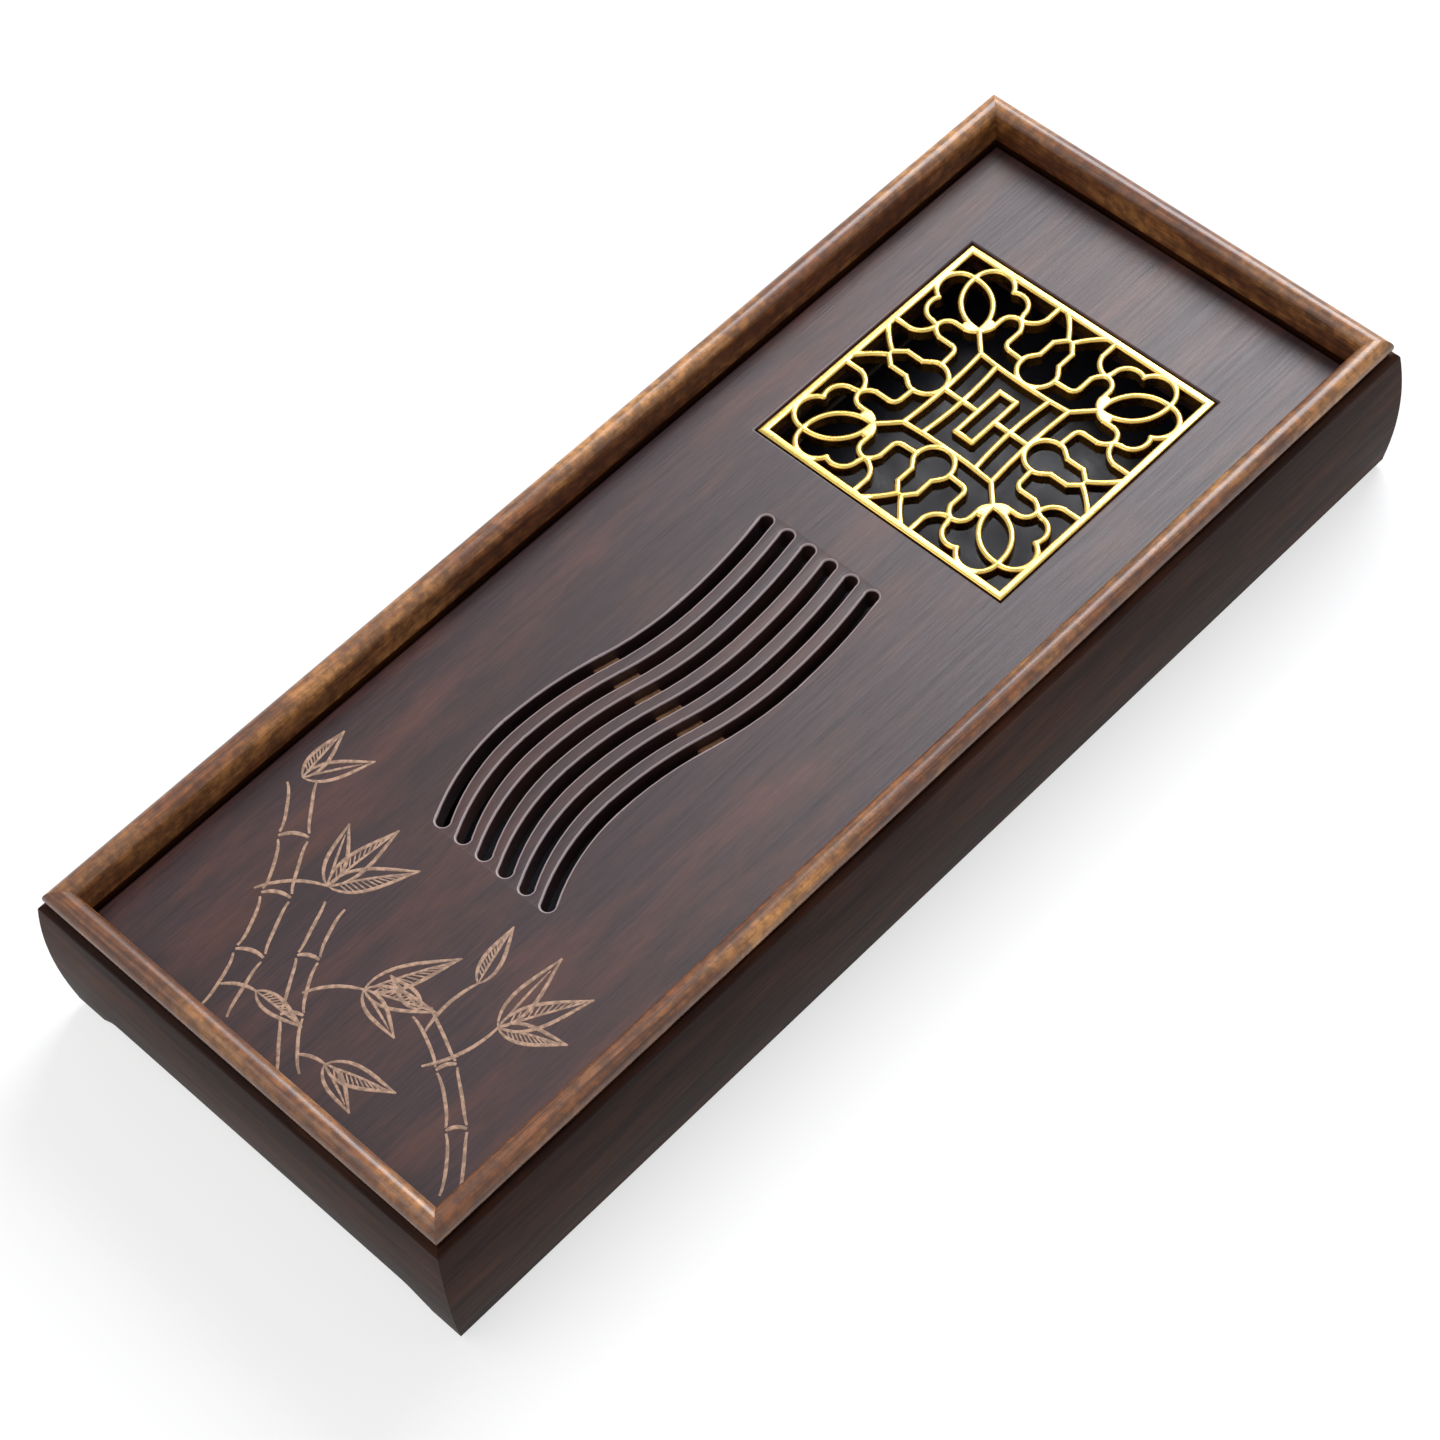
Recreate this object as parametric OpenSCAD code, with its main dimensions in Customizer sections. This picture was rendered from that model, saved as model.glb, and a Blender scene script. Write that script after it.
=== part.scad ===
// Tea tray for brewing tea: a mitred wooden frame with a half-round bead on
// its rim, a lift-off drainage board with wavy slots and a cast brass grille,
// and a loose plastic tray underneath that collects the spilled water.
// X runs along the tray toward the grille, -Y is the long front side, Z is up.
// The origin is at the middle of the footprint, on the table.

/* [Tray] */
// Length over the widest part of the end rails
tray_l = 400; // [390:1:480]
// Width over the widest part of the long rails
tray_w = 163; // [140:1:220]
// Height from the table to the top of the bead
tray_h = 59; // [55:1:72]

/* [Rails] */
// Thickness of a rail at its widest height
rail_t = 10.1; // [9.8:0.1:13]
// Radius of the swelling outer side
bulge_r = 170; // [100:5:400]
// Height of the widest place
bulge_z = 31; // [24:1:36]
// Rounding of the upper outer edge
shoulder_r = 2.5; // [1:0.25:3.5]
// Rounding of the lower outer edge
toe_r = 3; // [1:0.25:4]
// Length of the flat foot at each end of an end rail
foot_l = 9; // [4:0.5:14]
// Length of the curve that rises from the foot
ogee_l = 14; // [10:0.5:24]
// Height of the arch under an end rail
arch_rise = 10; // [1:0.5:10]

/* [Bead] */
// Diameter of the half-round bead
bead_d = 7.4; // [6:0.2:7.6]
// Depth of the bead's flat seat below its centre
bead_seat = 2.8; // [1.6:0.1:3]
// Thickness of the bead's lip, which hangs over the inner edge of the rail
lip_t = 3.2; // [2:0.1:3.6]
// Distance from the lip's lower edge to the drainage board's face
lip_gap = 1; // [0.5:0.25:3]

/* [Corner splines] */
// Width of a spline across the mitre
spline_w = 7; // [4:0.5:7.5]
// Thickness of a spline
spline_t = 2.4; // [1.5:0.1:3]
// Height of a spline
spline_h = 26; // [10:1:28]
// Height of a spline's lower end above the table
spline_z = 18; // [17.5:0.5:20]
// Distance from the outer faces to a spline's middle
spline_in = 6.2; // [5.8:0.1:6.4]
// Clearance round a spline in its slots
spline_gap = 0.1; // [0.05:0.05:0.2]

/* [Bottom board] */
// Thickness of the bottom board
base_t = 4; // [3:0.5:5]
// Height of its lower face above the table
base_z = 12; // [11:0.5:13]
// Depth of the grooves that hold it
groove_d = 4; // [2:0.5:5]
// Clearance at its edges in the grooves
base_gap = 0.3; // [0.1:0.1:0.6]

/* [Drainage board] */
// Thickness of the drainage board
panel_t = 8; // [7:0.5:10]
// Depth of the board's top below the top of the bead
recess_d = 13; // [10:0.5:15]
// Clearance between the board and the rails
panel_gap = 1.2; // [0.3:0.1:2]

/* [Wavy slots] */
// Number of slots
slot_n = 6; // [2:1:8]
// Distance from slot to slot
slot_pitch = 8.4; // [7:0.1:10]
// Width of a slot
slot_w = 4; // [3:0.1:5]
// Length of a slot between the centres of its round ends
slot_l = 136; // [100:1:140]
// Distance from the grille's middle to the middle of the slots
slots_apart = 139.3; // [136:0.1:144]
// Place of the middle of the slots across the tray
slots_y = 2.8; // [-6:0.1:6]

/* [Grille] */
// Side of the square grille
grille_s = 96.6; // [80:0.2:100]
// Thickness of the casting
grille_t = 4; // [3:0.25:5]
// Width of the border bar
border_w = 2.8; // [2:0.1:4]
// Width of the fret bars
bar_w = 2.1; // [1.4:0.1:2.4]
// Distance from the tray's right end to the grille's middle
grille_in = 95; // [93:0.5:100]
// Place of the grille across the tray
grille_y = 0.5; // [-6:0.1:6]
// Clearance between the grille and its rebate
grille_gap = 0.4; // [0.2:0.1:0.8]
// Width of the ledge that carries the grille
grille_ledge = 2.6; // [1.5:0.1:3.5]

/* [Cleats and battens] */
// Width of the cleats that carry the drainage board
cleat_w = 8; // [6:0.5:10]
// Height of a cleat
cleat_h = 10; // [7:0.5:12]
// Width of the batten under the slots
slot_batten_w = 8; // [6:0.5:12]
// Distance from the middle of the slots to that batten, toward the grille
slot_batten_off = 2.2; // [-6:0.1:6]
// Width of the battens near the board's ends
end_batten_w = 12; // [8:0.5:16]
// Depth that a batten hangs below the board
batten_drop = 6; // [4:0.5:7]
// Depth that a batten is let into the board
batten_let = 3; // [1.5:0.25:4]
// Distance from a batten's ends to the long cleats
batten_gap = 1.5; // [1:0.25:4]
// Distance from a batten's ends to its outer screws
batten_screw_in = 10; // [6:0.5:16]
// Distance from the board's ends to the middle of an end batten
end_batten_in = 22; // [20:0.5:24]

/* [Screws] */
// Diameter of a screw's shank
screw_d = 3; // [2.5:0.1:3.5]
// Diameter of its countersunk head
screw_head_d = 5.6; // [5:0.1:6.5]
// Height of the head
screw_head_h = 1.8; // [1.2:0.1:2.4]
// Length of the screws that hold the cleats
cleat_screw_l = 14; // [11:0.5:15]
// Length of the screws that hold the battens
batten_screw_l = 11; // [8:0.5:12]
// Clearance round a screw
screw_gap = 0.15; // [0.1:0.05:0.3]
// Screws in a long cleat
long_screws = 4; // [2:1:8]
// Screws in a short cleat
short_screws = 2; // [2:1:4]
// Screws in an end batten
end_batten_screws = 3; // [2:1:5]

/* [Water tray] */
// Clearance between its rim and the battens above
tub_head = 1; // [0.5:0.25:4]
// Wall of the water tray
tub_wall = 1.8; // [1.2:0.1:2.5]
// Floor of the water tray
tub_floor = 2; // [1.5:0.1:3]
// Width of its rim outside the wall
tub_rim = 4; // [2:0.5:5]
// Thickness of the rim
tub_rim_t = 1.8; // [1.2:0.1:2.5]
// Corner radius at the rim's outside
tub_r = 10; // [9.5:0.5:20]
// Lean of each wall from the floor to the rim
tub_draft = 1.5; // [0.5:0.1:2.5]
// Easing between the walls and the floor
tub_ease = 1.5; // [0.5:0.1:2.5]
// Clearance between the rim and the cleats
tub_gap = 1; // [0.5:0.1:2]

/* [Hidden] */
$fn = 64;

// Overshoot of a cutting solid past the face that it cuts
over = 1;
// Heights of the seats, from the top down
rail_top = tray_h - bead_d / 2 - bead_seat;
panel_top = tray_h - recess_d;
panel_z = panel_top - panel_t;
lip_z = panel_top + lip_gap;
// Inside of the frame
inner_l = tray_l - 2 * rail_t;
inner_w = tray_w - 2 * rail_t;
// The toe stands out this far past the swelling side, which ends on it in a fine line
toe_out = 0.05;
// Centres of the two roundings, beside the swelling side
shoulder_x = sqrt(pow(bulge_r - shoulder_r, 2) - pow(rail_top - shoulder_r - bulge_z, 2)) - bulge_r;
toe_x = sqrt(pow(bulge_r - toe_r, 2) - pow(bulge_z - toe_r, 2)) - bulge_r + toe_out;
// Heights at which the roundings leave the swelling side
shoulder_z = bulge_z + (rail_top - shoulder_r - bulge_z) * bulge_r / (bulge_r - shoulder_r);
toe_z = bulge_z - (bulge_z - toe_r) * bulge_r / (bulge_r - toe_r);
// Steps in the curve between a foot and its arch
ogee_steps = 12;
// Places along the tray
grille_x = tray_l / 2 - grille_in;
slots_x = grille_x - slots_apart;
slot_batten_x = slots_x + slot_batten_off;
// Drainage board and its square opening
panel_l = inner_l - 2 * panel_gap;
panel_w = inner_w - 2 * panel_gap;
rebate_s = grille_s + 2 * grille_gap;
hole_s = rebate_s - 2 * grille_ledge;
// Battens
batten_l = inner_w - 2 * cleat_w - 2 * batten_gap;
batten_h = batten_drop + batten_let;
end_batten_x = panel_l / 2 - end_batten_in;
// The slot batten has a screw on either side of the slots
slot_batten_screws = 2;
// Inside of the cleats, where the water tray stands
tub_l = inner_l - 2 * cleat_w - 2 * tub_gap;
tub_w = inner_w - 2 * cleat_w - 2 * tub_gap;
tub_z = base_z + base_t;
tub_h = panel_z - batten_drop - tub_head - tub_z;
// One bend of a slot is [radius as a share of slot_l, angle], to the right when negative
slot_bends = [[0.53, -29], [0.91, -15.5], [0.83, 15.5], [1.51, 10.6]];
// A slot starts at this heading, and is level where its first bend ends
slot_start = -slot_bends[0][1];
// Height of a slot's middle above its ends, which is half the rise of the first bend
slot_mid = slot_bends[0][0] * slot_l * (1 - cos(slot_start)) / 2;
// The pattern of the grille is drawn on a square of this side, from its middle
draw_s = 98;
// Extra width of the round joint between two bars of the grille or two bends of a slot
knuckle_add = 0.16;
// Named points of the pattern, right of the axis that runs toward +Y
bowl_low = [0, 17.2];
bowl_side = [6.5, 23.9];
mouth = [0.8, 38.9];
knot = [17.3, 35.5];
cusp = [26.2, 42.7];
tip = [39.2, 39.2];
root = [24.2, 24.2];
frame_corner = [17.7, 17.7];

// ---- helpers ----

// A profile in (outward, up), run along X and facing -Y
module run_front(len) {
    rotate([90, 0, 90])
        translate([0, 0, -len / 2])
            linear_extrude(len)
                mirror([1, 0])
                    children();
}

// The plan between the two mitre planes of a side, from the outer corners inward
module mitre_plan(len, dist) {
    deep = min(len / 2, dist) - over;
    translate([0, -dist, -over])
        linear_extrude(tray_h + 2 * over)
            polygon([
                [-len / 2 - over, -over], [len / 2 + over, -over],
                [len / 2 - deep, deep], [-len / 2 + deep, deep]
            ]);
}

// A screw that points along +Z, with its head's face at z = 0
module screw(len, gap) {
    cylinder(d = screw_d + 2 * gap, h = len + 2 * gap);
    cylinder(d1 = screw_head_d + 2 * gap, d2 = screw_d + 2 * gap, h = screw_head_h);
    if (gap > 0)
        translate([0, 0, -over])
            cylinder(d = screw_head_d + 2 * gap, h = over);
}

// ---- frame ----

// Section of a rail: a swelling outer side between two roundings
module rail_section() {
    intersection() {
        translate([-bulge_r, bulge_z])
            circle(bulge_r, $fn = 360);
        translate([-rail_t, toe_z])
            square([rail_t, shoulder_z - toe_z]);
    }
    translate([shoulder_x, rail_top - shoulder_r])
        circle(shoulder_r);
    translate([toe_x, toe_r])
        circle(toe_r);
    translate([-rail_t, rail_top - shoulder_r])
        square([rail_t + shoulder_x, shoulder_r]);
    translate([-rail_t, 0])
        square([rail_t + toe_x, toe_r]);
}

// Space of one corner spline in plan, at the front right corner
module spline_bar(gap) {
    translate([tray_l / 2 - spline_in, spline_in - tray_w / 2, spline_z - gap])
        rotate([0, 0, 45])
            translate([-spline_w / 2 - gap, -spline_t / 2 - gap, 0])
                cube([spline_w + 2 * gap, spline_t + 2 * gap, spline_h + 2 * gap]);
}

module all_splines(gap) {
    for (mx = [0, 1], my = [0, 1])
        mirror([mx, 0, 0])
            mirror([0, my, 0])
                spline_bar(gap);
}

// Cut under an end rail: flat arch between two curves that rise like half a wave
module arch_cut(len) {
    flat = len - 2 * (foot_l + ogee_l);
    wave = [for (i = [0:ogee_steps]) i / ogee_steps];
    right = [for (t = wave) [flat / 2 + ogee_l * t, arch_rise * (1 + cos(180 * t)) / 2]];
    left = [for (i = [ogee_steps:-1:0]) [-right[i][0], right[i][1]]];
    rotate([90, 0, 0])
        linear_extrude(3 * rail_t, center = true)
            polygon(concat(
                left, right,
                [[flat / 2 + ogee_l, -over], [-flat / 2 - ogee_l, -over]]
            ));
}

// One mitred rail facing -Y, its widest place at y = -dist
module rail(len, dist, arched) {
    intersection() {
        difference() {
            translate([0, -dist, 0])
                run_front(len)
                    difference() {
                        rail_section();
                        translate([-rail_t - over, base_z - base_gap / 2])
                            square([groove_d + over, base_t + base_gap]);
                        translate([-rail_t - over, lip_z])
                            square([lip_t + over, tray_h]);
                    }
            if (arched)
                translate([0, -dist, 0])
                    arch_cut(len);
        }
        mitre_plan(len, dist);
    }
}

module cut_rail(turn, len, dist, arched) {
    color("#2f1d17")
        difference() {
            rotate([0, 0, turn])
                rail(len, dist, arched);
            all_splines(spline_gap);
            cleat_screw_set(screw_gap);
        }
}

module front_rail() { cut_rail(0, tray_l, tray_w / 2, false); }
module back_rail() { cut_rail(180, tray_l, tray_w / 2, false); }
module left_rail() { cut_rail(-90, tray_w, tray_l / 2, true); }
module right_rail() { cut_rail(90, tray_w, tray_l / 2, true); }

// Section of a bead: half round with a flat seat, and flush with the rail's inner side,
// where its lip hangs down
module bead_section() {
    intersection() {
        translate([bead_d / 2 - rail_t, tray_h - bead_d / 2])
            circle(d = bead_d);
        translate([-rail_t, rail_top])
            square([bead_d, tray_h - rail_top]);
    }
    translate([-rail_t, lip_z])
        square([lip_t, tray_h - bead_d / 2 - lip_z]);
}

// Bead mitred like the rails
module bead(turn, len, dist) {
    color("#9a6440")
        rotate([0, 0, turn])
            intersection() {
                translate([0, -dist, 0])
                    run_front(len)
                        bead_section();
                mitre_plan(len, dist);
            }
}

module front_bead() { bead(0, tray_l, tray_w / 2); }
module back_bead() { bead(180, tray_l, tray_w / 2); }
module left_bead() { bead(-90, tray_w, tray_l / 2); }
module right_bead() { bead(90, tray_w, tray_l / 2); }

module corner_splines() {
    color("#b98a5c")
        all_splines(0);
}

// Thin board held in the grooves of the four rails
module bottom_board() {
    l = inner_l + 2 * (groove_d - base_gap);
    w = inner_w + 2 * (groove_d - base_gap);
    color("#a87b50")
        translate([-l / 2, -w / 2, base_z])
            cube([l, w, base_t]);
}

// ---- cleats ----

// Screws along one side, pointing outward through the cleat into the rail
module side_screws(turn, len, dist, count, gap) {
    step = len / count;
    rotate([0, 0, turn])
        for (i = [0 : count - 1])
            translate([(i - (count - 1) / 2) * step, rail_t + cleat_w - dist, panel_z - cleat_h / 2])
                rotate([90, 0, 0])
                    screw(cleat_screw_l, gap);
}

module cleat_screw_set(gap) {
    for (turn = [0, 180])
        side_screws(turn, inner_l, tray_w / 2, long_screws, gap);
    for (turn = [-90, 90])
        side_screws(turn, inner_w - 2 * cleat_w, tray_l / 2, short_screws, gap);
}

module cleat(turn, len, dist) {
    color("#b98a5c")
        difference() {
            rotate([0, 0, turn])
                translate([-len / 2, rail_t - dist, panel_z - cleat_h])
                    cube([len, cleat_w, cleat_h]);
            cleat_screw_set(screw_gap);
        }
}

module front_cleat() { cleat(0, inner_l, tray_w / 2); }
module back_cleat() { cleat(180, inner_l, tray_w / 2); }
module left_cleat() { cleat(-90, inner_w - 2 * cleat_w, tray_l / 2); }
module right_cleat() { cleat(90, inner_w - 2 * cleat_w, tray_l / 2); }

module cleat_screws() {
    color("#b9b9b4")
        cleat_screw_set(0);
}

// ---- drainage board ----

// One bend of a slot in plan, from the origin, leaving along +X
module slot_bend(r, a) {
    far = (r + slot_w) / cos(a / 2);
    mirror([0, a < 0 ? 1 : 0])
        translate([0, r])
            intersection() {
                difference() {
                    circle(r + slot_w / 2, $fn = 360);
                    circle(r - slot_w / 2, $fn = 360);
                }
                polygon([[0, 0], [0, -far], far * [sin(abs(a)), -cos(a)]]);
            }
}

// The bends follow one another, each from the end and heading of the last
module slot_chain(i) {
    if (i < len(slot_bends)) {
        r = slot_bends[i][0] * slot_l;
        a = slot_bends[i][1];
        slot_bend(r, a);
        translate([r * sin(abs(a)), sign(a) * r * (1 - cos(a))])
            rotate(a) {
                circle(d = slot_w + knuckle_add);
                slot_chain(i + 1);
            }
    }
}

module slot() {
    translate([-slot_l / 2, -slot_mid])
        rotate(slot_start) {
            circle(d = slot_w + knuckle_add);
            slot_chain(0);
        }
}

module slots() {
    translate([0, 0, -over])
        linear_extrude(panel_t + 2 * over)
            for (i = [0 : slot_n - 1])
                translate([slots_x, slots_y + (i - (slot_n - 1) / 2) * slot_pitch])
                    slot();
}

// Battens stand in grooves across the back of the board
module batten(x, w, gap) {
    translate([x - w / 2 - gap, -batten_l / 2 - gap, panel_z - batten_drop])
        cube([w + 2 * gap, batten_l + 2 * gap, batten_h + gap]);
}

module batten_screw_row(x, count, gap) {
    step = (batten_l - 2 * batten_screw_in) / (count - 1);
    for (i = [0 : count - 1])
        translate([x, (i - (count - 1) / 2) * step, panel_z - batten_drop])
            screw(batten_screw_l, gap);
}

module batten_screw_set(gap) {
    batten_screw_row(-end_batten_x, end_batten_screws, gap);
    batten_screw_row(slot_batten_x, slot_batten_screws, gap);
    batten_screw_row(end_batten_x, end_batten_screws, gap);
}

module drainage_board() {
    color("#4a342d")
        difference() {
            translate([0, 0, panel_z]) {
                difference() {
                    translate([-panel_l / 2, -panel_w / 2, 0])
                        cube([panel_l, panel_w, panel_t]);
                    slots();
                    translate([grille_x - hole_s / 2, grille_y - hole_s / 2, -over])
                        cube([hole_s, hole_s, panel_t + 2 * over]);
                    translate([grille_x - rebate_s / 2, grille_y - rebate_s / 2, panel_t - grille_t])
                        cube([rebate_s, rebate_s, grille_t + over]);
                }
            }
            batten(-end_batten_x, end_batten_w, 0);
            batten(slot_batten_x, slot_batten_w, 0);
            batten(end_batten_x, end_batten_w, 0);
            batten_screw_set(screw_gap);
        }
}

module drilled_batten(x, w) {
    color("#b98a5c")
        difference() {
            batten(x, w, 0);
            batten_screw_set(screw_gap);
        }
}

module slot_batten() { drilled_batten(slot_batten_x, slot_batten_w); }
module left_batten() { drilled_batten(-end_batten_x, end_batten_w); }
module right_batten() { drilled_batten(end_batten_x, end_batten_w); }

module batten_screws() {
    color("#b9b9b4")
        batten_screw_set(0);
}

// ---- grille ----

// A point of the drawing square at its real size
function drawn(p) = p * grille_s / draw_s;

// Round knuckle at an end of a bar, a little wider than the bars that meet in it
module knuckle(p) {
    translate(drawn(p))
        circle(d = bar_w + knuckle_add);
}

// A bar from p to q, bowed to its left by s, or to its right when s is negative
module bar(p, q, s = 0) {
    a = drawn(p);
    d = drawn(q) - a;
    chord = norm(d);
    translate(a)
        rotate(atan2(d[1], d[0]))
            if (s == 0) {
                translate([0, -bar_w / 2])
                    square([chord, bar_w]);
            } else {
                sag = norm(drawn([s, 0]));
                r = (chord * chord / 4 + sag * sag) / (2 * sag);
                half = asin(chord / 2 / r);
                far = 2 * (r + bar_w);
                translate([chord / 2, sign(s) * (sag - r)])
                    rotate(sign(s) * 90)
                        intersection() {
                            difference() {
                                circle(r + bar_w / 2, $fn = 180);
                                circle(r - bar_w / 2, $fn = 180);
                            }
                            polygon(concat([[0, 0]], [for (k = [-3 : 3]) far * [cos(k * half / 3), sin(k * half / 3)]]));
                        }
            }
}

// What lies off the axes of one half of one side of the fret, right of the axis
module fret_half() {
    // gourd: round bowl, neck and mouth
    bar(bowl_low, bowl_side, -1.9);
    bar(bowl_side, [5.3, 27.1], -0.35);
    bar([5.3, 27.1], [3.8, 29.2]);
    bar([3.8, 29.2], [3.8, 35.4]);
    bar([3.8, 35.4], mouth);
    // curved brace from the mouth to the border
    bar(mouth, [8.6, 47.5], 0.5);
    // arm from the bowl to the knot
    bar(bowl_side, [11.8, 24.2]);
    bar([11.8, 24.2], [14.3, 26.7], -0.73);
    bar([14.3, 26.7], [14.3, 31.8]);
    bar([14.3, 31.8], knot, 0.5);
    // stem from the border to the knot
    bar([11.2, 48], [11.2, 41]);
    bar([11.2, 41], knot, -1.4);
    // flower outline: small lobe, cusp, large lobe
    bar(knot, [18, 38]);
    bar([18, 38], cusp, 2.75);
    bar(cusp, tip, 5.7);
    // one side of the petal
    bar(root, tip, 4.95);
    // hook from the knot to the petal's root, and the web beside the petal
    bar(knot, [21.8, 31.7], 1.3);
    bar([21.8, 31.7], [21.8, 27.8]);
    bar([21.8, 27.8], root, -0.6);
    bar(root, [23.2, 29]);
    for (p = [
        bowl_side, [5.3, 27.1], [3.8, 29.2], [3.8, 35.4], mouth, [11.8, 24.2], [14.3, 26.7],
        [14.3, 31.8], knot, [11.2, 41], [18, 38], cusp, [21.8, 31.7], [21.8, 27.8], [23.2, 29]
    ])
        knuckle(p);
}

// What lies on the axes and diagonals of one quarter of the fret
module fret_quarter() {
    bar(frame_corner, [-frame_corner[0], frame_corner[1]], 0.9);
    bar(root, frame_corner);
    for (p = [bowl_low, tip, root, frame_corner])
        knuckle(p);
}

// Fret in the middle square, two-fold
module middle_fret() {
    for (turn = [0, 180])
        rotate(turn) {
            bar([0, 3.3], [0, 16.8]);
            bar([-16.9, 10.6], [16.9, 10.6], -1.1);
            bar([-10.1, 3.3], [10.1, 3.3]);
            bar([10.1, 3.3], [10.1, -3.3]);
            knuckle([10.1, 3.3]);
            knuckle([-10.1, 3.3]);
        }
}

module grille_plan() {
    difference() {
        square(grille_s, center = true);
        square(grille_s - 2 * border_w, center = true);
    }
    intersection() {
        square(grille_s - border_w, center = true);
        union() {
            for (turn = [0 : 90 : 270])
                rotate(turn) {
                    fret_half();
                    mirror([1, 0])
                        fret_half();
                    fret_quarter();
                }
            middle_fret();
        }
    }
}

module brass_grille() {
    color("#cda64f")
        translate([grille_x, grille_y, panel_top - grille_t])
            linear_extrude(grille_t)
                grille_plan();
}

// ---- water tray ----

// Section of the water tray's wall, from the centre of a corner outward
module tub_section() {
    top_r = tub_r - tub_rim;
    low_r = top_r - tub_draft;
    polygon([
        [0, 0], [low_r - tub_ease, 0], [low_r, tub_ease],
        [top_r, tub_h - tub_rim_t], [tub_r, tub_h - tub_rim_t], [tub_r, tub_h],
        [top_r - tub_wall, tub_h], [low_r - tub_wall, tub_floor + tub_ease],
        [low_r - tub_wall - tub_ease, tub_floor], [0, tub_floor]
    ]);
}

module water_tray() {
    cx = tub_l / 2 - tub_r;
    cy = tub_w / 2 - tub_r;
    color("#1b1b1d")
        translate([0, 0, tub_z]) {
            translate([-cx, -cy, 0])
                cube([2 * cx, 2 * cy, tub_floor]);
            for (turn = [0, 180])
                rotate([0, 0, turn]) {
                    translate([0, -cy, 0])
                        run_front(2 * cx)
                            tub_section();
                    rotate([0, 0, 90])
                        translate([0, -cx, 0])
                            run_front(2 * cy)
                                tub_section();
                    translate([cx, cy, 0])
                        rotate_extrude(angle = 90)
                            tub_section();
                    translate([-cx, cy, 0])
                        rotate([0, 0, 90])
                            rotate_extrude(angle = 90)
                                tub_section();
                }
        }
}

front_rail();
back_rail();
left_rail();
right_rail();
front_bead();
back_bead();
left_bead();
right_bead();
corner_splines();
bottom_board();
front_cleat();
back_cleat();
left_cleat();
right_cleat();
cleat_screws();
drainage_board();
slot_batten();
left_batten();
right_batten();
batten_screws();
brass_grille();
water_tray();
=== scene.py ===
import math

import bpy
from mathutils import Matrix, Vector


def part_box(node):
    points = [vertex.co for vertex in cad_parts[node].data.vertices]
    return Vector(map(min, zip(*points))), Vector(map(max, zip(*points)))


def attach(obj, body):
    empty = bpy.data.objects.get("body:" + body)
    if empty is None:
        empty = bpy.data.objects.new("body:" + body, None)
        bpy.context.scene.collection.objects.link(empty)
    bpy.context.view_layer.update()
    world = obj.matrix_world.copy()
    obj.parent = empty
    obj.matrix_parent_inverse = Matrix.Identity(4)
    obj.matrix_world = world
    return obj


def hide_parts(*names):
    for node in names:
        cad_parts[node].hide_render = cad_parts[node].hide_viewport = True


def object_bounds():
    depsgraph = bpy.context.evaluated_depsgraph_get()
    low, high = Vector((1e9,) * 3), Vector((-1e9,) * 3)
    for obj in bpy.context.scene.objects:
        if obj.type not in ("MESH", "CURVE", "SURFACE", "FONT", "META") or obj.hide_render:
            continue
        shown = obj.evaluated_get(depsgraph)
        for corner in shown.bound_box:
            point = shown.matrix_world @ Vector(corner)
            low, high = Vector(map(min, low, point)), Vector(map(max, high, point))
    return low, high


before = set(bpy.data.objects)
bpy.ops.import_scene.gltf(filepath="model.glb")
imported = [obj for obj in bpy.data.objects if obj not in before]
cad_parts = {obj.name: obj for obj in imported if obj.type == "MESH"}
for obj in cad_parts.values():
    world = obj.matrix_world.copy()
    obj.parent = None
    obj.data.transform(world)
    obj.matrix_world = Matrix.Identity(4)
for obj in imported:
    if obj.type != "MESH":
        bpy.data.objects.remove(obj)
CAD_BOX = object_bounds()

bl_info = {
    "name": "Tea tray dressing",
    "version": (1, 0, 0),
    "blender": (4, 5, 0),
    "location": "3D View > Sidebar > Tea tray",
    "description": "Gives the packed tea tray its woods, brass, plastic, carving and light",
    "category": "Object",
}

MM = 0.001
FINE = 0.001 * MM  # the least distance that a cut tells apart
MERGE = 0.002 * MM  # vertices this near each other become one
NEAR = 0.01 * MM  # faces and vertices this near a height or a line lie on it
BLACK, WHITE = (0, 0, 0, 1), (1, 1, 1, 1)
# the slots' middle on the board, and how far the painted highlight on their eased edges reaches
# from it
SLOTS_ALONG = (-34 * MM, 80 * MM)
SLOTS_ACROSS = (2.8 * MM, 60 * MM)
LONG_SIDES = ("front", "back")
SHORT_SIDES = ("left", "right")


def linear(hex_colour):
    """An sRGB hex colour as linear red, green, blue and alpha."""
    parts = [int(hex_colour[i:i + 2], 16) / 255 for i in (1, 3, 5)]
    return tuple(p / 12.92 if p <= 0.04045 else ((p + 0.055) / 1.055) ** 2.4
                 for p in parts) + (1.0,)


def colour(name, description, hex_colour):
    """A colour setting with its sRGB default."""
    return bpy.props.FloatVectorProperty(
        name=name, description=description, subtype="COLOR", size=4, min=0, max=1,
        default=linear(hex_colour))


def length(name, description, millimetres):
    """A length setting with its default in millimetres."""
    return bpy.props.FloatProperty(
        name=name, description=description, subtype="DISTANCE", unit="LENGTH", min=0,
        default=millimetres * MM)


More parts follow.
